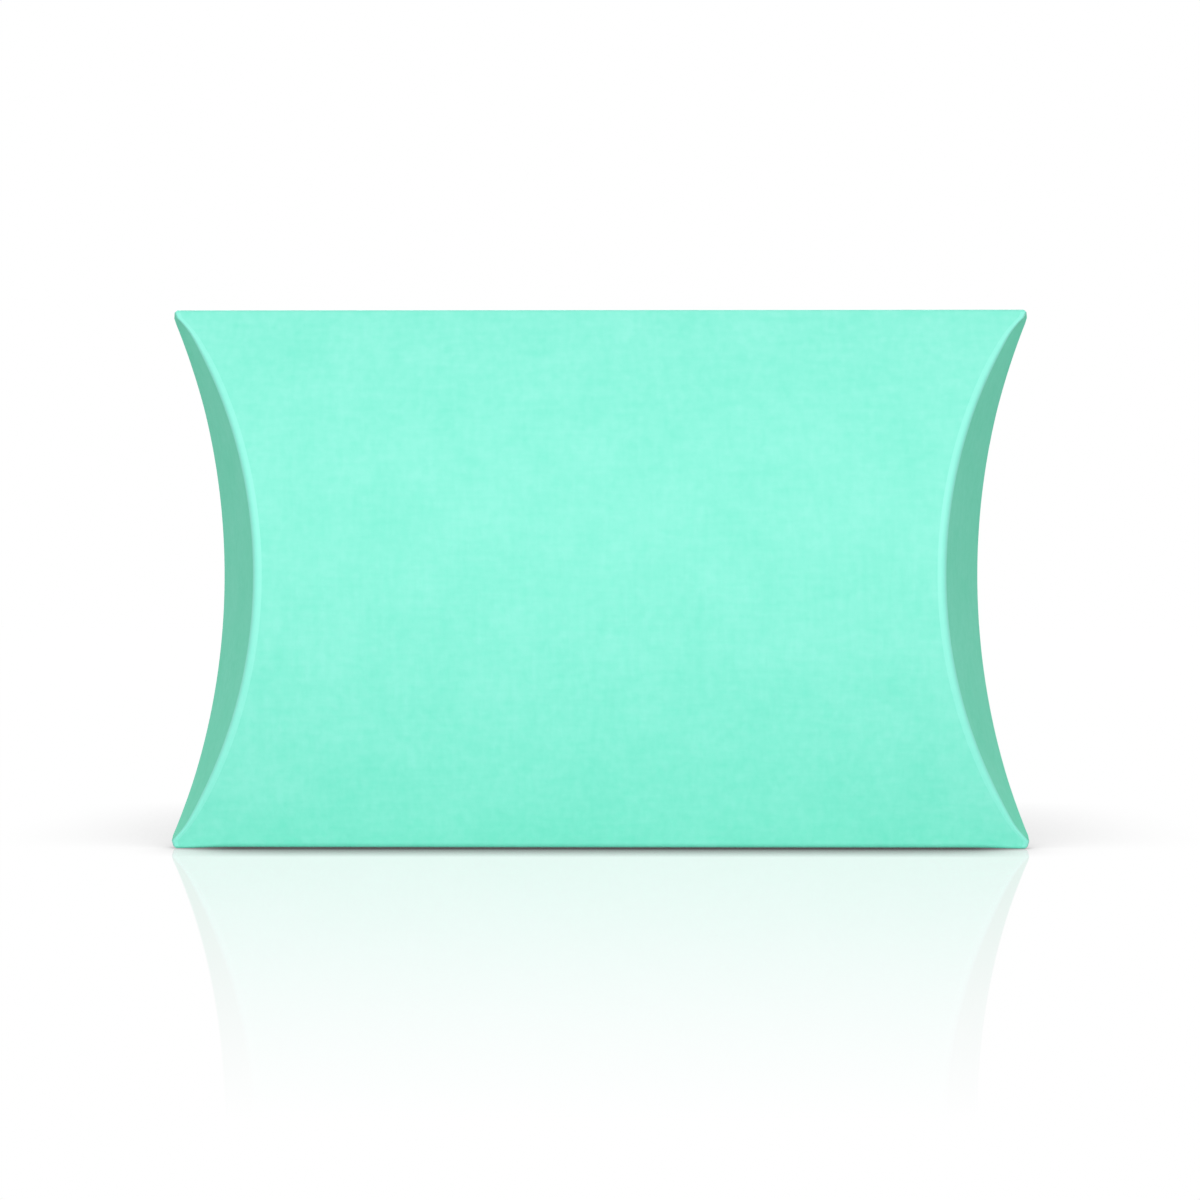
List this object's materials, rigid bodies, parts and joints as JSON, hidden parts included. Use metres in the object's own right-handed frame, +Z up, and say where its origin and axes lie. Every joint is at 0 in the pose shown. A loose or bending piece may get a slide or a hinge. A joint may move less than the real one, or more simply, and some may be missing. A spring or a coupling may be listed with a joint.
{
  "type": "pillow box",
  "caption": "Folding card pillow box: two bulging panels joined along straight folds, closed at each end by a pair of curved tuck flaps that swing open.",
  "frame": {"origin": "on the floor under the middle of the box, at the centre of the lower long edge", "axes": "+X along the length to the right, +Y from the front panel to the back panel, +Z up"},
  "size_m": [0.16, 0.022, 0.101],
  "materials": {
    "card": "matt dyed card with a fine fibre",
    "pressed_card": "pressed score line, slightly smoother and paler than the card",
    "adhesive": "dried clear adhesive film"
  },
  "bodies": {
    "sleeve": {"front_panel": "card", "back_panel": "card", "top_fold": "card", "seam_fold": "card", "glue_tab": "card", "glue_line": "adhesive", "right_front_crease": "pressed_card", "right_back_crease": "pressed_card", "left_front_crease": "pressed_card", "left_back_crease": "pressed_card"},
    "right_outer": {"right_outer_flap": "card"},
    "right_inner": {"right_inner_flap": "card"},
    "left_outer": {"left_outer_flap": "card"},
    "left_inner": {"left_inner_flap": "card"}
  },
  "joints": [
    {"name": "right_outer_fold", "type": "hinge", "parent": "sleeve", "child": "right_outer", "pos_m": [0.0638, -0.011, 0.0505], "axis": [0, 0, -1], "range_deg": [0, 75]},
    {"name": "right_inner_fold", "type": "hinge", "parent": "sleeve", "child": "right_inner", "pos_m": [0.0638, 0.011, 0.0505], "axis": [0, 0, 1], "range_deg": [0, 90]},
    {"name": "left_outer_fold", "type": "hinge", "parent": "sleeve", "child": "left_outer", "pos_m": [-0.0638, -0.011, 0.0505], "axis": [0, 0, 1], "range_deg": [0, 75]},
    {"name": "left_inner_fold", "type": "hinge", "parent": "sleeve", "child": "left_inner", "pos_m": [-0.0638, 0.011, 0.0505], "axis": [0, 0, -1], "range_deg": [0, 90]}
  ],
  "couplings": [
    {"joint": "right_inner_fold", "follows": "right_outer_fold", "ratio": 1.2},
    {"joint": "left_inner_fold", "follows": "left_outer_fold", "ratio": 1.2}
  ]
}
